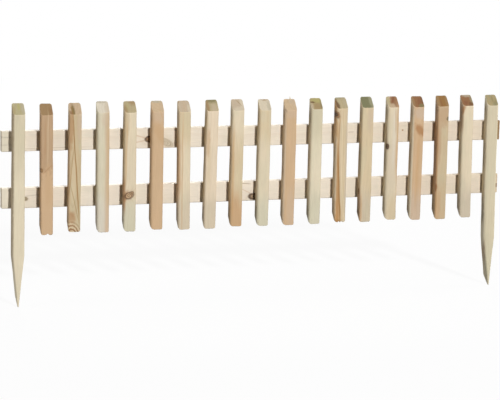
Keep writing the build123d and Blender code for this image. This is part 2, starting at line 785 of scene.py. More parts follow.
    def knotted(self, graph: Graph, colour: Wire, fields: Sequence[tuple[Wire, Wire]]) -> Wire:
        """Add the knots.

        Args:
            graph: the tree being built.
            colour: the colour so far.
            fields: distance from each knot in radii, and the angle about it.

        Returns:
            The colour with its knots.
        """
        for (distance, angle), knot in zip(fields, self.timber.knots):
            halo = graph.bell(distance * 0.75) * 0.4 * knot.dark
            colour = graph.mix(halo, colour, knot.body.linear)
            phase = distance * (2.0 * math.pi * knot.whorls) + angle * knot.spiral
            ring = graph.step(graph.math("SINE", phase) + knot.bold, -0.4, 0.9) * knot.dark
            inside = graph.mix(ring, knot.body.linear, knot.line.linear)
            soft = 0.15 if knot.rim else 0.4
            within = graph.step(distance, self.knot_rim + soft, self.knot_rim - soft)
            colour = graph.mix(within * 0.85, colour, inside)
            rim = graph.bell((distance - self.knot_rim) * 4.5) * knot.dark
            colour = graph.mix(rim * knot.rim, colour, knot.line.linear)
        return colour

    def cut_colour(self, graph: Graph, place: Place, grain: Wire, saw: Wire) -> Wire:
        """Colour the saw cuts.

        Args:
            graph: the tree being built.
            place: across, behind the front and along, in mm.
            grain: late wood from 0 to 1.
            saw: roughness of the cut.

        Returns:
            The colour of the end grain.
        """
        across, depth, _ = place
        half_width, half_thick = self.section[0] / 2, self.section[1] / 2
        rim = self.timber.cut_rim or self.timber.cut
        sideways, backwards = abs(across) / half_width, abs(depth - half_thick) / half_thick
        outward = graph.math("MAXIMUM", sideways, backwards)
        patch = self.lumps(graph, place, Lumps.CUT_TINT, (self.seed * 3.0, 0.0, 0.0))["Fac"]
        share = graph.step(outward * 0.3 + patch * 1.6 + (saw - 0.5) * 0.4, 0.95, 1.25)
        colour = graph.mix(share, self.timber.cut.linear, rim.linear)
        return graph.mix(grain * 0.16, colour, Tone.CUT_RUST.linear)


@dataclass(frozen=True)
class ZincFinish:
    """Dull zinc on the heads of the nails.

    Attributes:
        tone: colour of the zinc.
        rust: colour of the dull spots.
        spots: spots per m.
    """

    tone: Tone = Tone.ZINC
    rust: Tone = Tone.KNOT_HEART
    spots: float = 900.0

    def material(self, name: str) -> bpy.types.Material:
        """Build the finish.

        Args:
            name: name of the material.

        Returns:
            The material.
        """
        made = bpy.data.materials.new(name)
        made.use_nodes = True
        graph = Graph(made.node_tree)
        x, y, z = graph.split(graph.node("ShaderNodeTexCoord")["Object"])
        spots = graph.cloud(x * self.spots, y * self.spots, z * self.spots, 3.0)["Fac"]
        dull = graph.step(spots, 0.45, 0.7)
        surface = graph.node(
            "ShaderNodeBsdfPrincipled",
            {},
            {
                "Base Color": graph.mix(dull, self.tone.linear, self.rust.linear),
                "Metallic": 0.9 - dull * 0.4,
                "Roughness": 0.38 + dull * 0.3,
            },
        )
        graph.node("ShaderNodeOutputMaterial", {}, {"Surface": surface["BSDF"]})
        return made


@dataclass(frozen=True)
class FibreFinish:
    """Pale fibres torn out by the saw.

    Attributes:
        tone: colour of the paler fibres.
        shade: colour of the darker ones.
        lumps: changes of colour per m.
    """

    tone: Tone = Tone.CREAM
    shade: Tone = Tone.STRAW
    lumps: float = 60.0

    def material(self, name: str) -> bpy.types.Material:
        """Build the finish.

        Args:
            name: name of the material.

        Returns:
            The material.
        """
        made = bpy.data.materials.new(name)
        made.use_nodes = True
        graph = Graph(made.node_tree)
        x, y, z = graph.split(graph.node("ShaderNodeTexCoord")["Object"])
        lumps = graph.cloud(x * self.lumps, y * self.lumps, z * self.lumps)["Fac"]
        surface = graph.node(
            "ShaderNodeBsdfPrincipled",
            {},
            {
                "Base Color": graph.mix(lumps, self.tone.linear, self.shade.linear),
                "Roughness": 0.75,
            },
        )
        graph.node("ShaderNodeOutputMaterial", {}, {"Surface": surface["BSDF"]})
        return made


@dataclass(frozen=True)
class Wear:
    """How planing, handling and the saw leave a bar.

    Attributes:
        corner_steps: steps round a long edge.
        fine: step between points on a narrow face in m.
        coarse: step between points on a wide face in m.
        wide: size from which a face counts as wide in m.
        station: step between sections along the length in m.
        bevel: length of the small bevel round a saw cut in m.
        bevel_depth: how far that bevel goes in, in m.
        dent: depth of the dents where the noise is at its lowest, in m.
        dent_level: noise below which there is a dent.
        dent_lumps: lumps of that noise per m, across and along.
        tear_reach: how far from a saw cut its torn fibres pull, in m.
        tear_level: added to the noise that tears the fibres.
        tear_lumps: lumps of that noise per m.
    """

    corner_steps: int = 7
    fine: float = 1.5 * MM
    coarse: float = 3.5 * MM
    wide: float = 30.0 * MM
    station: float = 5.0 * MM
    bevel: float = 0.9 * MM
    bevel_depth: float = 0.5 * MM
    dent: float = 1.2 * MM
    dent_level: float = 0.12
    dent_lumps: tuple[float, float] = (60.0, 22.0)
    tear_reach: float = 9.0 * MM
    tear_level: float = 0.15
    tear_lumps: float = 420.0


@dataclass
class Bar:
    """A length of planed timber that stands over one solid of the frame.

    Attributes:
        node: name of the solid.
        timber: how it was cut and what shows on it.
        seed: moves its noise.
        slot: the record's material slot; not used.
        width: size across the face in m.
        depth: size from front to back in m.
        length: length of the front face in m.
        rise: how much higher the back is than the front at a saw cut, in m.
        origin: middle of the lower end of the front face.
        turn: angle of its length from upright, about Y, in radians.
        wear: how it was left by planing, handling and the saw.
    """

    node: str
    timber: Timber
    seed: float
    slot: str
    width: float = 0.0
    depth: float = 0.0
    length: float = 0.0
    rise: float = 0.0
    origin: Vector = field(default_factory=Vector)
    turn: float = 0.0
    wear: Wear = Wear()

    def outline(self) -> list[tuple[float, float]]:
        """Draw the section, with its rounded long edges.

        Returns:
            Points across and behind the front, in m.
        """
        half, corner = self.width / 2, self.wear.corner_steps
        edge, left = self.timber.edge * MM, self.timber.left_edge * MM
        corners = (
            (half - edge, edge, edge),
            (half - edge, self.depth - edge, edge),
            (edge - half, self.depth - edge, edge),
            (left - half, left, left),
        )
        points: list[tuple[float, float]] = []
        for number, (x, y, radius) in enumerate(corners):
            for step in range(corner + 1):
                angle = math.radians(90.0 * (number - 1) + 90.0 * step / corner)
                points.append((x + radius * math.cos(angle), y + radius * math.sin(angle)))
            x, y, radius = corners[(number + 1) % 4]
            angle = math.radians(90.0 * number)
            ahead = Vector((x + radius * math.cos(angle), y + radius * math.sin(angle)))
            last = Vector(points[-1])
            gap = (ahead - last).length
            count = max(2, round(gap / (self.wear.fine if gap < self.wear.wide else self.wear.coarse)))
            points += [tuple(last.lerp(ahead, step / count)) for step in range(1, count)]
        return points

    def stations(self) -> list[float]:
        """Choose where along the length the section is repeated, closer at the ends.

        Returns:
            Places along the front face in m.
        """
        last = END_STATIONS[-1]
        between = self.length - 2 * last
        count = max(2, round(between / self.wear.station))
        middle = [last + between / count * step for step in range(1, count)]
        return [*END_STATIONS, *middle, *(self.length - value for value in reversed(END_STATIONS))]

    def worn(self, across: float, depth: float, along: float) -> Vector:
        """Move a point of the perfect bar to where wear and the saw left it.

        Args:
            across: place across the face in m.
            depth: place behind the front face in m.
            along: place along the front face in m.

        Returns:
            The moved point, across, behind and along.
        """
        wear, middle = self.wear, self.depth / 2
        sideways, lengthways = wear.dent_lumps
        lump = Vector((across * sideways + self.seed, depth * sideways, along * lengthways))
        inset = 1.0 - min(1.0, min(along, self.length - along) / wear.bevel)
        shrink = 1.0 - inset * wear.bevel_depth / (self.width / 2)
        dent = wear.dent * min(0.0, noise.noise(lump) - wear.dent_level)
        squeeze = shrink + dent / self.width
        torn = self.tear(across, depth, along)
        return Vector((across * squeeze, middle + (depth - middle) * squeeze, along + torn))

    def tear(self, across: float, depth: float, along: float) -> float:
        """Say how far torn fibres pull back a point near an end.

        Args:
            across: place across the face in m.
            depth: place behind the front face in m.
            along: place along the front face in m.

        Returns:
            How far up the point goes, in m.
        """
        reach, lumps = self.wear.tear_reach, self.wear.tear_lumps
        lump = Vector((across * lumps + self.seed * 7, depth * lumps, 0.0))
        ragged = max(0.0, noise.noise(lump) + self.wear.tear_level)
        broken = self.timber.torn_bottom * ragged
        for notch in self.timber.notches:
            broken += notch.deep * math.exp(-(((across / MM - notch.across) / notch.width) ** 2))
        low = max(0.0, 1.0 - along / reach) * broken * MM
        high = max(0.0, 1.0 - (self.length - along) / reach) * self.timber.torn_top * MM * ragged
        return low - high

    def place(self, point: Vector) -> Vector:
        """Put a point of the bar in the frame, with the slope of its saw cuts.

        Args:
            point: the point, across, behind and along.

        Returns:
            Its place in the frame.
        """
        along = point.z + self.rise * point.y / self.depth
        turned = Matrix.Rotation(self.turn, 3, "Y") @ Vector((point.x, 0.0, along))
        return Vector((self.origin.x + turned.x, self.origin.y + point.y, self.origin.z + turned.z))

    def build(self) -> bpy.types.Object:
        """Build the bar's mesh.

        Returns:
            The new piece, in its place.
        """
        loop, stations = self.outline(), self.stations()
        count, middle = len(loop), self.depth / 2
        points = [self.place(self.worn(x, y, z)) for z in stations for x, y in loop]
        turns = [(step, (step + 1) % count) for step in range(count)]
        rows = [range(row * count, (row + 1) * count) for row in range(len(stations))]
        faces: list[tuple[int, ...]] = [
            (low[step], low[after], high[after], high[step])
            for low, high in zip(rows, rows[1:])
            for step, after in turns
        ]
        for rim, along in ((rows[0], 0.0), (rows[-1], self.length)):
            for share in CAP_RINGS:
                inner = range(len(points), len(points) + count)
                for x, y in loop:
                    shrunk = middle + (y - middle) * share
                    points.append(self.place(self.worn(x * share, shrunk, along)))
                faces += [(rim[step], rim[after], inner[after], inner[step]) for step, after in turns]
                rim = inner
            points.append(self.place(self.worn(0.0, middle, along)))
            faces += [(rim[step], rim[after], len(points) - 1) for step, after in turns]
        mesh = bpy.data.meshes.new(self.node + "_wood")
        mesh.from_pydata(points, [], faces)
        shell = bmesh.new()
        shell.from_mesh(mesh)
        bmesh.ops.remove_doubles(shell, verts=shell.verts, dist=MERGE_DISTANCE)
        bmesh.ops.recalc_face_normals(shell, faces=shell.faces)
        shell.to_mesh(mesh)
        shell.free()
        mesh.shade_smooth()
        mesh.set_sharp_from_angle(angle=SHARP_ANGLE)
        piece = bpy.data.objects.new(self.node + "_wood", mesh)
        bpy.context.scene.collection.objects.link(piece)
        return piece

    def dress(self, piece: bpy.types.Object) -> None:
        """Give the piece its finish and tie it to the frame.

        Args:
            piece: the bar's piece.
        """
        lies_down = self.turn > math.pi / 4
        finish = PineFinish(
            self.timber,
            self.origin,
            self.turn,
            self.seed,
            self.length / MM,
            (self.width / MM, self.depth / MM),
            0 if lies_down else 2,
        )
        piece.data.materials.append(finish.material(self.node + "_pine"))
        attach(piece, "root")
        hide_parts(self.node)


@dataclass
class Upright(Bar):
    """A picket: a batten sawn at a slope at both ends."""

    def measure(self) -> None:
        """Take the place, lean and sizes from the solid."""
        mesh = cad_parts[self.node].data
        front = [vertex.co for vertex in mesh.vertices if vertex.co.y < 0.01 * MM]
        lowest, highest = min(co.z for co in front), max(co.z for co in front)
        low = sorted((co for co in front if co.z < lowest + MM), key=lambda co: co.x)
        high = sorted((co for co in front if co.z > highest - MM), key=lambda co: co.x)
        base = (low[0] + low[-1]) / 2
        top = (high[0] + high[-1]) / 2
        self.origin = base
        self.length = (top - base).length
        self.turn = math.atan2(top.x - base.x, top.z - base.z)
        self.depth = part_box(self.node)[1].y
        self.width = BATTEN_WIDTH
        self.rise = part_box(self.node)[1].z - highest

    def middle_at(self, height: float) -> float:
        """Return where its centre line is along the fence at a height, in m."""
        return self.origin.x + math.tan(self.turn) * (height - self.origin.z)


@dataclass
class Stake(Upright):
    """An end stake: a longer batten whose lower end is cut to a point.

    Attributes:
        taper: length of the point in m.
        tip: width left at the point in m.
        astray: how far the tip has bowed to the right in m.
        bowed: length of the bow, up from the tip, in m.
    """

    taper: float = 118.0 * MM
    tip: float = 3.0 * MM
    astray: float = 0.0
    bowed: float = 354.0 * MM

    def worn(self, across: float, depth: float, along: float) -> Vector:
        """Wear a point of the stake as on any bar, then narrow it towards the stake's tip.

        Args:
            across: place across the face in m.
            depth: place behind the front face in m.
            along: place along the front face in m.

        Returns:
            The moved point, across, behind and along.
        """
        point = super().worn(across, depth, along)
        height = point.z + self.rise * point.y / self.depth
        reach = min(1.0, max(0.0, height) / self.taper)
        narrow = self.tip / self.width
        bow = max(0.0, 1.0 - height / self.bowed)
        point.x = point.x * (narrow + (1.0 - narrow) * reach) + self.astray * bow * bow
        return point


@dataclass
class Rail(Bar):
    """A board that runs behind the uprights."""

    def measure(self) -> None:
        """Take the place and sizes from the solid."""
        low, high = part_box(self.node)
        self.origin = Vector((low.x, low.y, (low.z + high.z) / 2))
        self.length = high.x - low.x
        self.width = high.z - low.z
        self.depth = high.y - low.y
        self.turn = math.pi / 2


@dataclass
class Scatter:
    """Small things repeated by geometry nodes over a set of points.

    Attributes:
        name: name of the piece.
        points: where they go, in m.
        finish: their material.
        seed: fixes what is random about them.
        slot: the record's material slot, where there is one for it; not used.
    """

    name: str
    points: list[Vector]
    finish: bpy.types.Material
    seed: int
    slot: Optional[str] = None

    def inputs(self) -> dict[str, tuple[str, Any]]:
        """Return the tree's own inputs: name to socket type and value."""
        return {"Seed": ("NodeSocketInt", self.seed), "Finish": ("NodeSocketMaterial", self.finish)}

    def grow(self, graph: Graph, given: Made) -> Wire:
        """Return the instances made from the group's inputs."""
        raise NotImplementedError

    def build(self) -> bpy.types.Object:
        """Run the tree and keep its result as a plain mesh.

        Returns:
            The new piece.
        """
        tree = bpy.data.node_groups.new(self.name + "_nodes", "GeometryNodeTree")
        tree.interface.new_socket("Geometry", in_out="OUTPUT", socket_type="NodeSocketGeometry")
        tree.interface.new_socket("Geometry", in_out="INPUT", socket_type="NodeSocketGeometry")
        values = {
            tree.interface.new_socket(name, in_out="INPUT", socket_type=kind).identifier: value
            for name, (kind, value) in self.inputs().items()
        }
        graph = Graph(tree)
        given = graph.node("NodeGroupInput")
        solid = graph.node("GeometryNodeRealizeInstances", {}, {"Geometry": self.grow(graph, given)})
        dressed = graph.node(
            "GeometryNodeSetMaterial", {}, {"Geometry": solid["Geometry"], "Material": given["Finish"]}
        )
        graph.node("NodeGroupOutput", {"is_active_output": True}, {"Geometry": dressed["Geometry"]})
        seeds = bpy.data.meshes.new(self.name + "_points")
        seeds.from_pydata(self.points, [], [])
        holder = bpy.data.objects.new(self.name + "_points", seeds)
        bpy.context.scene.collection.objects.link(holder)
        modifier = holder.modifiers.new("scatter", "NODES")
        modifier.node_group = tree
        for identifier, value in values.items():
            modifier[identifier] = value
        evaluated = holder.evaluated_get(bpy.context.evaluated_depsgraph_get())
        mesh = bpy.data.meshes.new_from_object(evaluated)
        holder.modifiers.remove(modifier)
        bpy.data.objects.remove(holder)
        mesh.name = self.name
        piece = bpy.data.objects.new(self.name, mesh)
        bpy.context.scene.collection.objects.link(piece)
        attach(piece, "root")
        return piece


@dataclass
class NailHeads(Scatter):
    """Heads of the nails that hold the uprights, on the backs of the rails.

    Attributes:
        radius: radius of a head in m.
        proud: how far a head stands out in m.
    """

    radius: float = 2.2 * MM
    proud: float = 0.35 * MM

    def inputs(self) -> dict[str, tuple[str, Any]]:
        """Return the common inputs and the head's sizes."""
        sizes = {"Radius": ("NodeSocketFloat", self.radius), "Proud": ("NodeSocketFloat", self.proud)}
        return {**super().inputs(), **sizes}

    def grow(self, graph: Graph, given: Made) -> Wire:
        """Set a low, bevelled head on each point, facing back.

        Args:
            graph: the tree being built.
            given: the group's inputs.

        Returns:
            The instances.
        """
        rim = graph.node(
            "GeometryNodeMeshCylinder",
            {},
            {"Vertices": 14, "Radius": given["Radius"], "Depth": given["Proud"] * 2.0},
        )["Mesh"]
        crown = graph.node(
            "GeometryNodeMeshCone",
            {},
            {
                "Vertices": 14,
                "Radius Top": given["Radius"] * 0.72,
                "Radius Bottom": given["Radius"],
                "Depth": given["Proud"] * 0.5,
            },
        )["Mesh"]
        lifted = graph.node(
            "GeometryNodeTransform",
            {},
            {"Geometry": crown, "Translation": graph.vector(0.0, 0.0, given["Proud"])},
        )["Geometry"]
        head = graph.node("GeometryNodeJoinGeometry", {}, {"Geometry": [rim, lifted]})["Geometry"]
        lean = graph.node(
            "FunctionNodeRandomValue",
            {"data_type": "FLOAT_VECTOR"},
            {0: (-1.67, 0.0, -0.1), 1: (-1.47, 6.28, 0.1), "Seed": given["Seed"]},
        )[0]
        turned = graph.node("FunctionNodeEulerToRotation", {}, {"Euler": lean})["Rotation"]
        return graph.node(
            "GeometryNodeInstanceOnPoints",
            {},
            {"Points": given["Geometry"], "Instance": head, "Rotation": turned},
        )["Instances"]


@dataclass
class TornFibres(Scatter):
    """Slivers that the saw tore from the rims of the cuts.

    Attributes:
        share: share of the points that carry a sliver.
        longest: length of the longest sliver in m.
        downward: whether the slivers hang from a lower cut.
        stout: thickness of a sliver, in shares of the longest.
        least: length of the shortest sliver, in shares of the longest.
    """

    share: float = 0.16
    longest: float = 2.0 * MM
    downward: bool = False
    stout: float = 0.14
    least: float = 0.25

    def inputs(self) -> dict[str, tuple[str, Any]]:
        """List the inputs of the slivers' tree.

        Returns:
            The common inputs and the slivers' own.
        """
        own = {
            "Share": ("NodeSocketFloat", self.share),
            "Longest": ("NodeSocketFloat", self.longest),
            "Turn": ("NodeSocketFloat", math.pi if self.downward else 0.0),
            "Stout": ("NodeSocketFloat", self.stout),
            "Least": ("NodeSocketFloat", self.least),
        }
        return {**super().inputs(), **own}

    def grow(self, graph: Graph, given: Made) -> Wire:
        """Set a thin sliver on some of the points.

        Args:
            graph: the tree being built.
            given: the group's inputs.

        Returns:
            The instances.
        """
        sliver = graph.node(
            "GeometryNodeMeshCone",
            {"fill_type": "TRIANGLE_FAN"},
            {"Vertices": 4, "Radius Top": 0.0, "Radius Bottom": 0.5, "Depth": 1.0},
        )["Mesh"]
        chosen = graph.node(
            "FunctionNodeRandomValue",
            {"data_type": "BOOLEAN"},
            {"Probability": given["Share"], "Seed": given["Seed"]},
        )[3]
        lean = graph.node(
            "FunctionNodeRandomValue",
            {"data_type": "FLOAT_VECTOR"},
            {0: (-0.45, -0.45, 0.0), 1: (0.45, 0.45, 6.28), "Seed": given["Seed"] + 1.0},
        )[0]
        tipped = graph.node(
            "ShaderNodeVectorMath",
            {"operation": "ADD"},
            {0: lean, 1: graph.vector(given["Turn"], 0.0, 0.0)},
        )["Vector"]
        turned = graph.node("FunctionNodeEulerToRotation", {}, {"Euler": tipped})["Rotation"]
        size = graph.node(
            "FunctionNodeRandomValue",
            {"data_type": "FLOAT"},
            {2: given["Least"], 3: 1.0, "Seed": given["Seed"] + 2.0},
        )[1]
        thick = given["Longest"] * given["Stout"]
        return graph.node(
            "GeometryNodeInstanceOnPoints",
            {},
            {
                "Points": given["Geometry"],
                "Selection": chosen,
                "Instance": sliver,
                "Rotation": turned,
                "Scale": graph.vector(thick, thick, size * given["Longest"]),
            },
        )["Instances"]


@dataclass(frozen=True)
class Lamp:
    """A round studio lamp aimed at the middle of the panel.

    Attributes:
        name: name of the lamp.
        azimuth: where it stands, in degrees to the right of the front.
        height: how high it stands, in degrees above the horizon.
        distance: how far it stands from the panel in m.
        size: its diameter in m.
        level: how brightly it lights a white card that faces it, with 1 for white.
    """

    name: str
    azimuth: float
    height: float
    distance: float
    size: float
    level: float

    def build(self, target: Vector) -> None:
        """Add the lamp.

        Args:
            target: where it is aimed, in m.
        """
        light = bpy.data.lights.new(self.name, "AREA")
        light.shape = "DISK"
        light.size = self.size
        light.energy = self.level * math.pi**2 * self.distance**2
        around, up = math.radians(self.azimuth), math.radians(self.height)
        level = math.cos(up)
        towards = Vector((math.sin(around) * level, -math.cos(around) * level, math.sin(up)))
        lamp = bpy.data.objects.new(self.name, light)
        lamp.location = target + towards * self.distance
        lamp.rotation_euler = towards.to_track_quat("Z", "Y").to_euler()
        bpy.context.scene.collection.objects.link(lamp)


@dataclass
class Studio:
    """Floor, light and camera.

    Attributes:
        floor_level: height of the floor in m.
        floor_reach: half the floor's size in m.
        floor_white: how plain the floor is beside the panel, from 0 to 1.
        floor_pale: how light the floor is where the shadow falls, from 0 to 1.
        floor_dark: how light the floor is for the light that it throws back, from 0 to 1.
        shadow_reach: how far from the panel's middle the floor keeps its shadow, in m.
        shadow_fade: share of that reach from which the shadow fades.
        middle: place that the lights point at in m.
        eye: place of the camera in m.
        pitch: how far it looks up, in degrees.
        roll: how far it leans, in degrees.
        yaw: how far it turns to the left, in degrees.
        lens: focal length for a 36 mm wide image.
        lamps: the lights that shine on the panel.
        ambient: strength of the light from all round.
    """

    floor_level: float
    floor_reach: float = 20.0
    floor_white: float = 0.92
    floor_pale: float = 0.9
    floor_dark: float = 0.08
    shadow_reach: float = 4.0
    shadow_fade: float = 0.6
    middle: tuple[float, float, float] = (0.57, 0.0, 0.15)
    eye: tuple[float, float, float] = (-0.77734, -4.33923, 0.91472)
    pitch: float = -10.5814
    roll: float = -1.2865
    yaw: float = -16.8705
    lens: float = 143.976
    lamps: tuple[Lamp, ...] = (
        Lamp("key_light", 14.0, 26.0, 11.0, 0.8, 0.94),
        Lamp("side_light", -80.0, 14.0, 6.0, 2.6, 0.36),
        Lamp("right_light", 97.0, 13.0, 6.0, 2.6, 0.45),
        Lamp("back_light", 172.0, 12.5, 7.0, 3.0, 0.8),
    )
    ambient: float = 0.055

    def build(self) -> None:
        """Set up the floor, the world, the lights and the camera."""
        bpy.context.scene.view_settings.view_transform = "Standard"
        self.build_floor()
        self.build_world()
        for lamp in self.lamps:
            lamp.build(Vector(self.middle))
        self.build_camera()

    def seen(self, graph: Graph) -> Wire:
        """Tell what is looked at from what only sends light.

        Args:
            graph: the tree being built.

        Returns:
            1 where the camera, a reflection or glass looks, and 0 for the light itself.
        """
        path = graph.node("ShaderNodeLightPath")
        direct = graph.math("MAXIMUM", path["Is Camera Ray"], path["Is Glossy Ray"])
        return graph.math("MAXIMUM", direct, path["Is Transmission Ray"])

    def build_floor(self) -> None:
        """Lay a plain white floor that keeps a faint shadow."""
        reach = self.floor_reach
        square = ((-reach, -reach), (reach, -reach), (reach, reach), (-reach, reach))
        corners = [(x, y, self.floor_level) for x, y in square]
        mesh = bpy.data.meshes.new("floor")
        mesh.from_pydata(corners, [], [(0, 1, 2, 3)])
        floor = bpy.data.objects.new("floor", mesh)
        bpy.context.scene.collection.objects.link(floor)
        made = bpy.data.materials.new("floor_white")
        made.use_nodes = True
        graph = Graph(made.node_tree)
        seen = self.seen(graph)
        grey, dark = self.floor_pale, self.floor_dark
        pale = graph.node("ShaderNodeBsdfDiffuse", {}, {"Color": (grey, grey, grey, 1.0)})
        plain = graph.node("ShaderNodeBsdfDiffuse", {}, {"Color": (dark, dark, dark, 1.0)})
        white = graph.node("ShaderNodeEmission", {}, {"Color": (1.0, 1.0, 1.0, 1.0), "Strength": 1.0})
        near = graph.node(
            "ShaderNodeMapping",
            {"vector_type": "TEXTURE"},
            {
                "Vector": graph.node("ShaderNodeTexCoord")["Object"],
                "Location": self.middle,
                "Scale": (self.shadow_reach, self.shadow_reach, self.shadow_reach),
            },
        )["Vector"]
        away = graph.node("ShaderNodeVectorMath", {"operation": "LENGTH"}, {0: near})["Value"]
        fade = graph.step(away, self.shadow_fade, 1.0)
        share = fade * (1.0 - self.floor_white) + self.floor_white
        shown = graph.node("ShaderNodeMixShader", {}, {0: share, 1: pale["BSDF"], 2: white["Emission"]})
        surface = graph.node(
            "ShaderNodeMixShader", {}, {0: seen, 1: plain["BSDF"], 2: shown["Shader"]}
        )
        graph.node("ShaderNodeOutputMaterial", {}, {"Surface": surface["Shader"]})
        mesh.materials.append(made)
        floor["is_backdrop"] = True

    def build_world(self) -> None:
        """Give an even light from all round, behind a white background."""
        world = bpy.data.worlds.new("studio")
        bpy.context.scene.world = world
        world.use_nodes = True
        graph = Graph(world.node_tree)
        level = self.seen(graph) * (1.0 - self.ambient) + self.ambient
        sky = graph.node("ShaderNodeBackground", {}, {"Color": (1.0, 1.0, 1.0, 1.0), "Strength": level})
        graph.node("ShaderNodeOutputWorld", {}, {"Surface": sky["Background"]})

    def build_camera(self) -> None:
        """Place the camera where the photograph was taken from."""
        camera = bpy.data.cameras.new("camera")
        camera.sensor_fit = "HORIZONTAL"
        camera.sensor_width = 36.0
        camera.lens = self.lens
        camera.clip_end = 100.0
        holder = bpy.data.objects.new("camera", camera)
        turn = (
            Matrix.Rotation(math.radians(self.yaw), 4, "Z")
            @ Matrix.Rotation(math.radians(self.pitch), 4, "X")
            @ Matrix.Rotation(math.radians(self.roll), 4, "Y")
            @ Matrix.Rotation(math.radians(90.0), 4, "X")
        )
        holder.matrix_world = Matrix.Translation(self.eye) @ turn
        bpy.context.scene.collection.objects.link(holder)
        bpy.context.scene.camera = holder


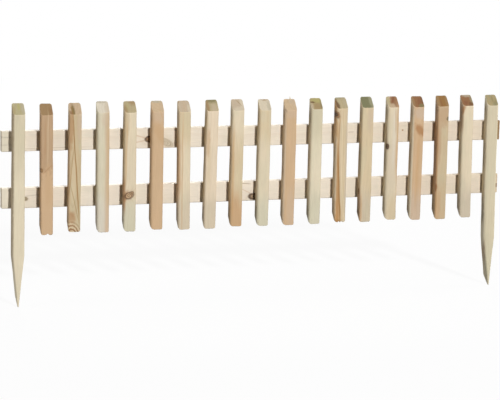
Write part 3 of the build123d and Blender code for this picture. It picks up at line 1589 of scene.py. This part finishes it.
UPRIGHTS: dict[str, Timber] = {
    "left_stake": Timber(
        sap=Tone.PALE_CREAM,
        head=Tone.GREEN_CREAM,
        cut=Tone.CUT_YELLOW,
        pith=(-60.0, 30.0),
        tilt=(0.01, 0.0),
        contrast=0.08,
        green=0.12,
        patches=(
            Patch(1.0, 16.0, 3.0, 6.0, Tone.CUT_LIME, 0.5),
            Patch(-11.0, 9.0, 4.0, 8.0, Tone.CUT_OLIVE, 0.8),
            Patch(10.0, 14.0, 4.0, 12.0, Tone.CUT_STONE, 0.6),
            # Painted shade over the whole left side, which the side lamp lights with nothing beside it
            # to shade it.
            Patch(14.0, 150.0, 16.0, 340.0, Tone.PAINTED_SIDE_SHADE, 0.75, Face.SIDE),
        ),
        left_edge=6.0,
    ),
    "picket_01": Timber(
        heart=Tone.PINK_BROWN,
        heart_radius=300.0,
        cut=Tone.CUT_BROWN,
        pith=(-40.0, 20.0),
        contrast=0.15,
        knots=(Knot(-12.5, 150.0, 3.2, 1.3, 0.8, rim=0.5),),
        streaks=(
            Streak(-9.0, 143.0, 162.0, 1.6, 20.0, 0.5, Tone.RUST),
            Streak(1.0, 165.0, 275.0, 1.1, 1.5, 0.6, Tone.HONEY),
            Streak(-5.0, 185.0, 260.0, 2.0, 1.0, 0.3, Tone.RUST),
        ),
        patches=(
            Patch(0.0, 70.0, 30.0, 78.0, Tone.TAN, 0.95, Face.FRONT, soft=0.12),
            Patch(2.0, 118.0, 7.0, 45.0, Tone.BUFF, 0.5, Face.FRONT),
            Patch(10.0, 8.0, 5.0, 8.0, Tone.CUT_RUST, 0.4),
        ),
        notches=(Notch(1.5, 2.4, 3.0),),
        torn_bottom=1.6,
    ),
    "picket_02": Timber(
        sap=Tone.STRAW,
        heart=Tone.HONEY,
        cut=Tone.CUT_PINK,
        pith=(-2.0, 3.0),
        tilt=(-0.01, 0.05),
        heart_radius=7.0,
        ring=6.5,
        contrast=0.22,
        green=0.4,
        late=Tone.RUST,
        knots=(
            Knot(
                -5.5, 4.0, 20.0, 1.3, 1.0, whorls=3.2, lean=-0.1,
                rim=0.0, bold=0.3, line=Tone.KNOT_HEART, body=Tone.HONEY,
            ),
        ),
        streaks=(
            Streak(10.0, 37.0, 277.0, 1.2, -17.5, 1.0, Tone.GOLDEN_BROWN),
            Streak(9.0, 32.0, 112.0, 0.9, -19.0, 0.6, Tone.GOLDEN_BROWN),
            Streak(-13.0, 95.0, 200.0, 0.9, 9.0, 0.6, Tone.GOLDEN_BROWN),
        ),
        patches=(
            Patch(-5.5, 7.0, 4.0, 13.0, Tone.CUT_PEAT, 0.9),
            Patch(-11.5, 2.0, 4.0, 5.0, Tone.CUT_RUST, 0.8),
            Patch(-10.0, 245.0, 4.5, 45.0, Tone.RUST, 0.65, Face.FRONT),
            Patch(-7.0, 40.0, 8.0, 13.0, Tone.RUST, 0.7, Face.FRONT),
            Patch(9.0, 250.0, 6.0, 40.0, Tone.ROSE_CLAY, 0.6, Face.FRONT),
            Patch(-3.0, 130.0, 5.0, 50.0, Tone.HONEY, 0.6, Face.FRONT),
            Patch(12.0, 150.0, 16.0, 170.0, Tone.BUFF, 0.5, Face.SIDE),
        ),
        left_edge=4.2,
    ),
    "picket_03": Timber(
        sap=Tone.GREEN_WHITE,
        heart=Tone.CLAY,
        foot=Tone.CHALK,
        cut=Tone.CUT_WHITE,
        pith=(36.0, 6.0),
        tilt=(0.0, 0.0),
        heart_radius=30.0,
        blend=7.0,
        green=0.25,
        contrast=0.06,
        streaks=(Streak(9.0, -40.0, 255.0, 5.5, 0.5, 0.75, Tone.TAN),),
        patches=(
            Patch(11.0, 8.0, 6.0, 14.0, Tone.CUT_BEIGE, 0.5),
            Patch(0.0, 24.0, 14.0, 4.0, Tone.CUT_STONE, 0.8),
            Patch(4.0, 262.0, 8.0, 18.0, Tone.ROSE_CLAY, 0.45, Face.FRONT),
        ),
        left_edge=8.0,
    ),
    "picket_04": Timber(
        sap=Tone.CREAM,
        heart=Tone.CLAY,
        foot=Tone.PALE_GREEN,
        cut=Tone.CUT_KHAKI,
        pith=(-34.0, 14.0),
        heart_radius=22.0,
        green=0.15,
        contrast=0.12,
        knots=(
            Knot(
                -2.5, 87.0, 10.0, 0.8, 0.95, whorls=2.1, lean=0.35, spiral=1.0,
                rim=0.75, bold=0.1, line=Tone.KNOT_RING, body=Tone.BUFF,
            ),
            Knot(
                3.4, 92.5, 4.4, 0.9, 0.9, whorls=0.9, lean=0.2,
                rim=0.9, line=Tone.KNOT_RING, body=Tone.BUFF,
            ),
        ),
        streaks=(
            Streak(6.0, 50.0, 125.0, 12.0, 0.0, 0.75, Tone.RUST, Face.SIDE),
            Streak(-10.0, 120.0, 250.0, 2.2, 1.5, 0.5, Tone.ORANGE_BROWN),
        ),
        patches=(
            Patch(-11.0, 7.0, 4.0, 9.0, Tone.CUT_BROWN, 0.7),
            Patch(-6.0, 13.0, 4.0, 8.0, Tone.CUT_LIME, 0.2),
            Patch(7.0, 22.0, 8.0, 7.0, Tone.CUT_BROWN, 0.7),
            Patch(-11.0, 84.0, 5.0, 14.0, Tone.RUST, 0.75, Face.FRONT, slant=0.3),
            Patch(-8.0, 255.0, 5.0, 30.0, Tone.STRAW, 0.6, Face.FRONT),
            Patch(10.0, 190.0, 14.0, 90.0, Tone.STRAW, 0.7, Face.SIDE),
        ),
        notches=(Notch(-13.0, 3.0, 2.0),),
        torn_bottom=1.5,
        left_edge=5.5,
    ),
    "picket_05": Timber(
        heart=Tone.TAN,
        heart_radius=300.0,
        cut=Tone.CUT_TAN,
        contrast=0.06,
        pith=(20.0, 50.0),
        streaks=(Streak(10.0, 262.0, 282.0, 1.6, -6.0, 0.5, Tone.BUFF),),
        patches=(
            Patch(0.0, 24.0, 15.0, 4.5, Tone.CUT_STONE, 0.85),
            Patch(10.0, 9.0, 5.0, 8.0, Tone.CUT_PINK, 0.7),
            Patch(2.0, 268.0, 14.0, 16.0, Tone.ROSE_CLAY, 0.5, Face.FRONT),
            Patch(5.0, 228.0, 12.0, 22.0, Tone.BUFF, 0.8, Face.FRONT, slant=-0.3),
        ),
        left_edge=8.5,
    ),
    "picket_06": Timber(
        heart=Tone.TAN,
        foot=Tone.GREY_CREAM,
        head=Tone.HONEY,
        heart_radius=22.0,
        pith=(-30.0, 8.0),
        tilt=(0.0, 0.0),
        cut=Tone.CUT_BEIGE,
        green=0.2,
        contrast=0.1,
        streaks=(Streak(-5.5, 0.0, 262.0, 1.3, 0.5, 0.6, Tone.ORANGE_BROWN),),
        patches=(
            Patch(1.0, 12.0, 4.0, 12.0, Tone.CUT_PINK, 0.5),
            Patch(11.0, 6.0, 4.0, 9.0, Tone.CUT_CREAM, 0.6),
            Patch(-12.5, 22.0, 3.0, 4.0, Tone.CUT_BROWN, 0.7),
        ),
        left_edge=6.5,
    ),
    "picket_07": Timber(
        sap=Tone.PINK_CREAM,
        heart=Tone.CLAY,
        foot=Tone.GREY_CREAM,
        heart_radius=24.0,
        pith=(-36.0, 18.0),
        cut=Tone.CUT_KHAKI,
        green=0.1,
        contrast=0.16,
        patches=(
            Patch(0.0, 25.0, 16.0, 8.0, Tone.CUT_MOSS, 0.85),
            Patch(-11.5, 8.0, 4.5, 14.0, Tone.CUT_BROWN, 0.85),
            Patch(4.0, 7.0, 7.0, 9.0, Tone.CUT_BEIGE, 0.6),
            Patch(-6.0, 150.0, 4.0, 60.0, Tone.HONEY, 0.5, Face.FRONT),
            Patch(-9.0, 205.0, 4.0, 34.0, Tone.BUFF, 0.6, Face.FRONT),
        ),
        left_edge=5.0,
    ),
    "picket_08": Timber(
        sap=Tone.HONEY,
        head=Tone.CREAM,
        foot=Tone.BUFF,
        pith=(4.0, 30.0),
        tilt=(0.0, 0.06),
        cut=Tone.CUT_BEIGE,
        contrast=0.1,
        streaks=(Streak(-10.0, 20.0, 235.0, 2.6, 0.0, 0.55, Tone.ORANGE_BROWN),),
        patches=(
            Patch(10.0, 16.0, 4.0, 10.0, Tone.CUT_CREAM, 0.8),
            Patch(4.0, 16.0, 1.4, 6.0, Tone.CUT_BROWN, 0.6, slant=-0.9),
            Patch(2.0, 3.0, 12.0, 5.0, Tone.CUT_CREAM, 0.6),
        ),
        left_edge=7.0,
    ),
    "picket_09": Timber(
        head=Tone.HONEY,
        foot=Tone.PALE_GREEN,
        cut=Tone.CUT_CREAM,
        pith=(50.0, 60.0),
        contrast=0.08,
        patches=(
            Patch(0.0, 24.5, 10.0, 3.6, Tone.CUT_BROWN, 0.7, slant=-1.0),
            Patch(10.0, 7.0, 5.0, 11.0, Tone.CUT_STONE, 0.6),
            Patch(12.0, 255.0, 4.0, 30.0, Tone.GREEN_CREAM, 0.6, Face.FRONT),
            Patch(-6.0, 262.0, 8.0, 14.0, Tone.GREEN_CREAM, 0.5, Face.FRONT),
        ),
        left_edge=7.5,
    ),
    "picket_10": Timber(
        heart=Tone.TAN,
        heart_radius=300.0,
        cut=Tone.CUT_TAN,
        contrast=0.1,
        pith=(40.0, 30.0),
        patches=(
            Patch(7.0, 20.0, 8.0, 7.0, Tone.CUT_BEIGE, 0.7),
            Patch(10.0, 10.0, 5.0, 12.0, Tone.CUT_PINK, 0.7),
            Patch(-12.0, 275.0, 1.8, 6.0, Tone.CUT_UMBER, 0.6, Face.FRONT, slant=-0.3),
            Patch(0.0, 268.0, 14.0, 12.0, Tone.ROSE_CLAY, 0.5, Face.FRONT),
            Patch(4.0, 40.0, 9.0, 50.0, Tone.ROSE_CLAY, 0.45, Face.FRONT),
            Patch(12.0, 140.0, 18.0, 170.0, Tone.PINK_CREAM, 0.6, Face.SIDE),
        ),
        torn_top=1.8,
        left_edge=8.0,
    ),
    "picket_11": Timber(
        sap=Tone.PALE_CREAM,
        head=Tone.GREEN_CREAM,
        foot=Tone.PALE_GREEN,
        cut=Tone.CUT_OLIVE,
        contrast=0.08,
        pith=(20.0, 80.0),
        patches=(
            Patch(3.0, 19.0, 13.0, 6.0, Tone.CUT_LIME, 0.5),
            Patch(3.0, 5.0, 12.0, 8.0, Tone.CUT_BROWN, 0.55),
            Patch(-11.0, 6.0, 3.5, 8.0, Tone.CUT_BEIGE, 0.7),
            Patch(-8.0, 15.0, 6.0, 1.6, Tone.CUT_UMBER, 0.9, slant=-1.0),
            Patch(11.5, 9.0, 2.5, 12.0, Tone.CUT_MOSS, 0.5),
        ),
        left_edge=7.0,
    ),
    "picket_12": Timber(
        sap=Tone.HONEY,
        heart=Tone.ORANGE_BROWN,
        heart_radius=17.5,
        pith=(-15.0, 12.0),
        tilt=(-0.03, 0.0),
        cut=Tone.CUT_KHAKI,
        ring=5.0,
        contrast=0.3,
        knots=(Knot(-13.0, 262.0, 5.5, 1.4, 1.0, whorls=0.8, lean=-0.3, rim=0.5, body=Tone.RUST),),
        streaks=(
            Streak(-0.5, 6.0, 168.0, 2.2, -8.0, 1.0, Tone.GOLDEN_BROWN),
            Streak(-6.5, 0.0, 150.0, 2.2, -2.0, 0.5, Tone.RUST),
            Streak(-8.0, 150.0, 255.0, 1.6, 2.0, 0.7, Tone.RUST),
            Streak(1.5, 60.0, 265.0, 1.2, -2.0, 0.5, Tone.CREAM),
            Streak(-4.0, -5.0, 14.0, 7.0, 0.0, 0.6, Tone.GOLDEN_BROWN),
        ),
        patches=(
            Patch(-11.0, 8.0, 5.0, 14.0, Tone.CUT_UMBER, 0.9, slant=-0.25),
            Patch(10.0, 12.0, 5.0, 13.0, Tone.CUT_STONE, 0.3),
            Patch(-4.0, 24.0, 12.0, 3.5, Tone.CUT_SAGE, 0.7),
            Patch(12.0, 140.0, 3.0, 150.0, Tone.GREY_BEIGE, 0.7, Face.FRONT),
            Patch(10.0, 120.0, 14.0, 110.0, Tone.CREAM, 0.8, Face.SIDE),
        ),
        notches=(Notch(-3.5, 1.3, 3.0), Notch(3.0, 1.2, 2.4)),
        torn_bottom=2.0,
        left_edge=7.0,
    ),
    "picket_13": Timber(
        sap=Tone.HONEY,
        foot=Tone.DRY_CREAM,
        cut=Tone.CUT_GREEN,
        contrast=0.1,
        knots=(Knot(11.0, 78.0, 4.0, 1.4, 1.0, Face.SIDE, 1.0),),
        streaks=(Streak(8.0, -5.0, 90.0, 6.0, 4.0, 0.7, Tone.RUST, Face.SIDE),),
        patches=(
            Patch(10.5, 14.0, 5.0, 14.0, Tone.CUT_SAGE, 0.8),
            Patch(6.0, 250.0, 8.0, 30.0, Tone.ROSE_CLAY, 0.5, Face.FRONT),
            Patch(-11.5, 30.0, 3.0, 40.0, Tone.ORANGE_BROWN, 0.5, Face.FRONT),
        ),
    ),
    "picket_14": Timber(
        sap=Tone.CREAM,
        heart=Tone.TAN,
        heart_radius=24.0,
        pith=(34.0, 10.0),
        tilt=(0.0, 0.0),
        cut=Tone.CUT_PINK,
        green=0.3,
        contrast=0.12,
        knots=(Knot(5.0, 184.0, 4.6, 1.3, 1.0, Face.SIDE, 1.0, bold=0.6, body=Tone.KNOT_RING),),
        streaks=(
            Streak(2.0, 140.0, 270.0, 4.0, 1.0, 0.5, Tone.CHALK),
            Streak(10.5, 115.0, 275.0, 3.0, -0.5, 0.8, Tone.BUFF),
            Streak(6.0, 218.0, 272.0, 1.4, -2.0, 0.6, Tone.BUFF),
            Streak(5.0, 180.0, 235.0, 2.5, 6.0, 0.6, Tone.KNOT_HEART, Face.SIDE),
        ),
        patches=(
            Patch(4.5, 13.0, 10.5, 17.0, Tone.CUT_RUST, 0.95, slant=0.1),
            Patch(2.5, 17.0, 2.5, 9.0, Tone.CUT_RED, 0.9, slant=0.4),
            Patch(-10.0, 15.0, 4.0, 12.0, Tone.CUT_YELLOW, 0.8),
            Patch(13.0, 5.0, 2.0, 8.0, Tone.CUT_RED, 0.6),
            Patch(-2.0, 2.0, 6.0, 6.0, Tone.CUT_PINK, 0.8),
            Patch(4.0, 25.0, 14.0, 50.0, Tone.STRAW, 0.6, Face.FRONT),
            Patch(12.0, 105.0, 18.0, 85.0, Tone.PALE_CREAM, 1.0, Face.SIDE),
            Patch(-2.0, 130.0, 14.0, 60.0, Tone.GREY_CREAM, 0.8, Face.FRONT),
        ),
        left_edge=8.5,
    ),
    "picket_15": Timber(
        heart=Tone.TAN,
        foot=Tone.ROSE_CLAY,
        heart_radius=300.0,
        cut=Tone.CUT_RUST,
        pith=(-20.0, 30.0),
        contrast=0.15,
        streaks=(Streak(-1.0, 40.0, 210.0, 4.0, 3.0, 0.4, Tone.ORANGE_BROWN),),
        patches=(
            Patch(-11.0, 12.0, 3.5, 14.0, Tone.CUT_BROWN, 0.75),
            Patch(5.0, 12.0, 5.0, 8.0, Tone.CUT_RED, 0.7),
            Patch(8.0, 3.0, 7.0, 4.5, Tone.CUT_MOSS, 0.85),
            Patch(12.0, 16.0, 2.5, 9.0, Tone.CUT_UMBER, 0.6),
            Patch(4.0, 262.0, 14.0, 13.0, Tone.ROSE_CLAY, 0.9, Face.FRONT),
            Patch(5.0, 221.0, 10.0, 14.0, Tone.RUST, 0.85, Face.FRONT, slant=-0.5),
            Patch(12.0, 130.0, 18.0, 170.0, Tone.PALE_CREAM, 0.95, Face.SIDE),
        ),
        left_edge=8.5,
    ),
    "picket_16": Timber(
        sap=Tone.CLAY,
        heart=Tone.PINK_BROWN,
        foot=Tone.STRAW,
        heart_radius=20.0,
        pith=(-28.0, 12.0),
        tilt=(0.0, 0.0),
        cut=Tone.CUT_AMBER,
        green=0.3,
        contrast=0.12,
        knots=(Knot(11.5, 247.0, 3.2, 1.3, 0.9, body=Tone.CUT_OLIVE),),
        streaks=(Streak(-12.5, 10.0, 235.0, 2.0, 0.0, 0.6, Tone.RUST),),
        patches=(
            Patch(11.0, 10.0, 4.0, 14.0, Tone.CUT_BROWN, 0.6),
            Patch(-11.0, 14.0, 4.0, 14.0, Tone.CUT_BROWN, 0.8),
            Patch(-4.0, 7.0, 2.4, 9.0, Tone.CUT_RED, 0.4),
            Patch(2.0, 254.0, 16.0, 26.0, Tone.PINK_BROWN, 0.8, Face.FRONT),
            Patch(-8.0, 190.0, 4.0, 50.0, Tone.PINK_BROWN, 0.7, Face.FRONT),
            Patch(-7.0, 35.0, 6.0, 44.0, Tone.BUFF, 0.8, Face.FRONT),
            Patch(3.0, 40.0, 12.0, 40.0, Tone.PINK_BROWN, 0.4, Face.FRONT),
            Patch(-13.0, 83.0, 3.0, 8.0, Tone.CUT_RED, 0.95, Face.FRONT),
        ),
    ),
    "picket_17": Timber(
        sap=Tone.CREAM,
        foot=Tone.GREY_BEIGE,
        cut=Tone.CUT_RUST,
        pith=(40.0, 40.0),
        contrast=0.08,
        patches=(
            Patch(4.0, 25.0, 14.0, 5.5, Tone.CUT_STONE, 0.85),
            Patch(12.0, 14.0, 3.5, 9.0, Tone.CUT_SAGE, 0.7),
            Patch(-4.0, 7.0, 5.0, 4.0, Tone.CUT_RED, 0.8),
            Patch(9.0, 4.0, 6.0, 4.0, Tone.CUT_UMBER, 0.7),
            Patch(-13.0, 266.0, 4.0, 13.0, Tone.RUST, 0.8, Face.FRONT, slant=0.3),
            Patch(10.0, 255.0, 14.0, 40.0, Tone.KNOT_HEART, 0.6, Face.SIDE),
        ),
        left_edge=7.0,
    ),
    "right_stake": Timber(
        sap=Tone.GREEN_CREAM,
        cut=Tone.CUT_OLIVE,
        cut_rim=Tone.CUT_SAGE,
        green=0.25,
        contrast=0.1,
        pith=(60.0, 20.0),
        tilt=(0.0, 0.0),
        streaks=(Streak(-5.0, -122.0, -55.0, 1.2, -5.0, 0.4, Tone.KNOT_HEART),),
        patches=(
            Patch(9.0, 5.0, 6.0, 8.0, Tone.CUT_MOSS, 0.5),
            Patch(2.0, 14.0, 2.5, 6.0, Tone.CUT_MOSS, 0.5),
            Patch(12.0, 120.0, 18.0, 320.0, Tone.PALE_CREAM, 0.9, Face.SIDE),
            Patch(-9.5, -70.0, 1.5, 5.0, Tone.KNOT_RING, 0.7, Face.FRONT),
            Patch(-8.0, -92.0, 1.2, 6.0, Tone.KNOT_RING, 0.6, Face.FRONT),
            Patch(-6.0, -113.0, 1.5, 4.0, Tone.KNOT_RING, 0.7, Face.FRONT),
        ),
        left_edge=8.5,
    ),
}

RAILS: dict[str, Timber] = {
    "upper_rail": Timber(
        sap=Tone.RAIL_CREAM,
        heart=Tone.RAIL_PINK,
        head=Tone.RAIL_SHADE,
        late=Tone.RAIL_LATE,
        cut=Tone.CUT_CREAM,
        pith=(14.0, 60.0),
        tilt=(0.004, 0.002),
        ring=5.0,
        contrast=0.28,
        green=0.12,
        knots=(
            Knot(2.0, 303.0, 6.6, 1.35, 1.0, rim=0.9),
            Knot(
                10.0, 342.0, 9.0, 2.0, 0.6, whorls=3.0, lean=0.4, spiral=1.0,
                rim=0.3, line=Tone.CUT_BROWN, body=Tone.CUT_CREAM,
            ),
            Knot(-5.0, 918.0, 1.6, 1.2, 0.6, rim=0.6, line=Tone.KNOT_HEART),
        ),
        streaks=(
            Streak(17.0, 5.0, 160.0, 0.8, -1.0, 0.5, Tone.CUT_BEIGE),
            Streak(-11.0, 262.0, 300.0, 1.4, 12.0, 0.55, Tone.BUFF),
            Streak(10.0, 265.0, 300.0, 1.4, -6.0, 0.5, Tone.BUFF),
            Streak(-3.0, 782.0, 796.0, 0.7, 0.0, 0.6, Tone.CUT_BROWN),
            Streak(-10.0, -34.0, 10.0, 1.6, 2.0, 0.4, Tone.CUT_SAGE),
            Streak(8.0, -34.0, 6.0, 2.2, 0.0, 0.35, Tone.CUT_STONE),
        ),
        patches=(
            Patch(-2.0, 1162.0, 30.0, 22.0, Tone.CUT_BROWN, 1.0, Face.FRONT, soft=0.3),
            Patch(0.0, -30.0, 40.0, 22.0, Tone.PALE_GREEN, 0.6, Face.FRONT),
        ),
        edge=1.5,
        left_edge=1.5,
    ),
    "lower_rail": Timber(
        sap=Tone.RAIL_CREAM,
        heart=Tone.RAIL_PINK,
        head=Tone.RAIL_SHADE,
        late=Tone.RAIL_LATE,
        cut=Tone.CUT_CREAM,
        pith=(-10.0, 70.0),
        tilt=(0.003, -0.002),
        ring=5.5,
        contrast=0.24,
        green=0.12,
        knots=(
            Knot(2.0, 16.0, 4.5, 1.9, 0.85, line=Tone.CUT_PEAT, body=Tone.CUT_STONE),
            Knot(13.0, 553.0, 7.0, 1.5, 1.0, rim=0.9, body=Tone.CUT_BROWN),
            Knot(5.0, 1163.0, 4.0, 1.2, 0.9),
        ),
        streaks=(
            Streak(-19.5, 505.0, 545.0, 0.9, 3.0, 0.7, Tone.CUT_BROWN),
            Streak(-8.0, 518.0, 548.0, 1.2, 14.0, 0.5, Tone.BUFF),
            Streak(-4.0, 18.0, 52.0, 1.2, -3.0, 0.45, Tone.CUT_STONE),
        ),
        patches=(
            Patch(0.0, 1162.0, 34.0, 18.0, Tone.CUT_TAN, 0.7, Face.FRONT, soft=0.3),
            Patch(0.0, -30.0, 40.0, 22.0, Tone.PALE_GREEN, 0.4, Face.FRONT),
        ),
        edge=1.5,
        left_edge=1.5,
    ),
}


def report(piece: bpy.types.Object) -> None:
    """Log a finished piece and how many faces it has."""
    LOG.info("%s: %d faces", piece.name, len(piece.data.polygons))


def make_uprights() -> list[Upright]:
    """Build and dress the stakes and the pickets.

    Returns:
        The uprights, from left to right.
    """
    uprights: list[Upright] = []
    first, step = UPRIGHT_SEEDS
    for number, (node, timber) in enumerate(UPRIGHTS.items()):
        upright = Upright(node, timber, first + step * number, "batten_pine")
        if node in STAKE_BOWS:
            upright = Stake(node, timber, upright.seed, "batten_pine", astray=STAKE_BOWS[node])
        upright.measure()
        piece = upright.build()
        upright.dress(piece)
        uprights.append(upright)
        report(piece)
    return uprights


def make_rails() -> list[Rail]:
    """Build and dress the two rails.

    Returns:
        The rails, upper one first.
    """
    rails: list[Rail] = []
    first, step = RAIL_SEEDS
    for number, (node, timber) in enumerate(RAILS.items()):
        rail = Rail(node, timber, first + step * number, "rail_pine")
        rail.measure()
        piece = rail.build()
        rail.dress(piece)
        rails.append(rail)
        report(piece)
    return rails


def make_nails(uprights: Sequence[Upright], rails: Sequence[Rail]) -> None:
    """Drive two nails through the rail behind each upright.

    Args:
        uprights: the uprights.
        rails: the rails.
    """
    # Vector noise starts from the clock unless it is given a seed.
    noise.seed_set(NAIL_SEED)
    points: list[Vector] = []
    for rail in rails:
        back = rail.origin.y + rail.depth
        for upright in uprights:
            for side, lift in NAIL_PLACES:
                jitter = noise.noise_vector(Vector((upright.seed, lift, rail.seed))) * NAIL_JITTER
                height = rail.origin.z + lift * MM
                across = upright.middle_at(height) + side * MM
                points.append(Vector((across + jitter.x, back, height + jitter.z)))
    nails = NailHeads("nail_heads", points, ZincFinish().material("nail_zinc"), NAIL_SEED)
    report(nails.build())


def make_fibres(uprights: Sequence[Upright]) -> None:
    """Leave torn fibres on the rims of the saw cuts.

    Args:
        uprights: the uprights.
    """
    finish = FibreFinish().material("torn_fibre")
    for name, downward, seed in (("upper_fibres", False, 11), ("lower_fibres", True, 23)):
        points: list[Vector] = []
        for upright in uprights:
            if downward and isinstance(upright, Stake):
                continue
            along = 0.0 if downward else upright.length
            rim = [upright.worn(x * FIBRE_INSET, y, along) for x, y in upright.outline()]
            points += [upright.place(point) for point in rim]
        fibres = TornFibres(name, points, finish, seed, "batten_pine", downward=downward)
        report(fibres.build())
    torn = next(upright for upright in uprights if upright.node == "picket_10")
    across, inward = SPLINTER_PLACE
    splinter = TornFibres(
        "top_splinter",
        [torn.place(torn.worn(across, torn.depth - inward, torn.length))],
        finish,
        5,
        "batten_pine",
        share=1.0,
        longest=SPLINTER_LENGTH,
        stout=0.5,
        least=1.0,
    )
    report(splinter.build())


def main() -> None:
    """Build the panel's looks in order and report each piece."""
    logging.basicConfig(level=logging.INFO, format="%(name)s %(message)s")
    solid_box = [list(corner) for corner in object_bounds()]
    uprights = make_uprights()
    rails = make_rails()
    make_nails(uprights, rails)
    make_fibres(uprights)
    Studio(floor_level=solid_box[0][2] - FLOOR_GAP).build()


if __name__ == "__main__":
    main()
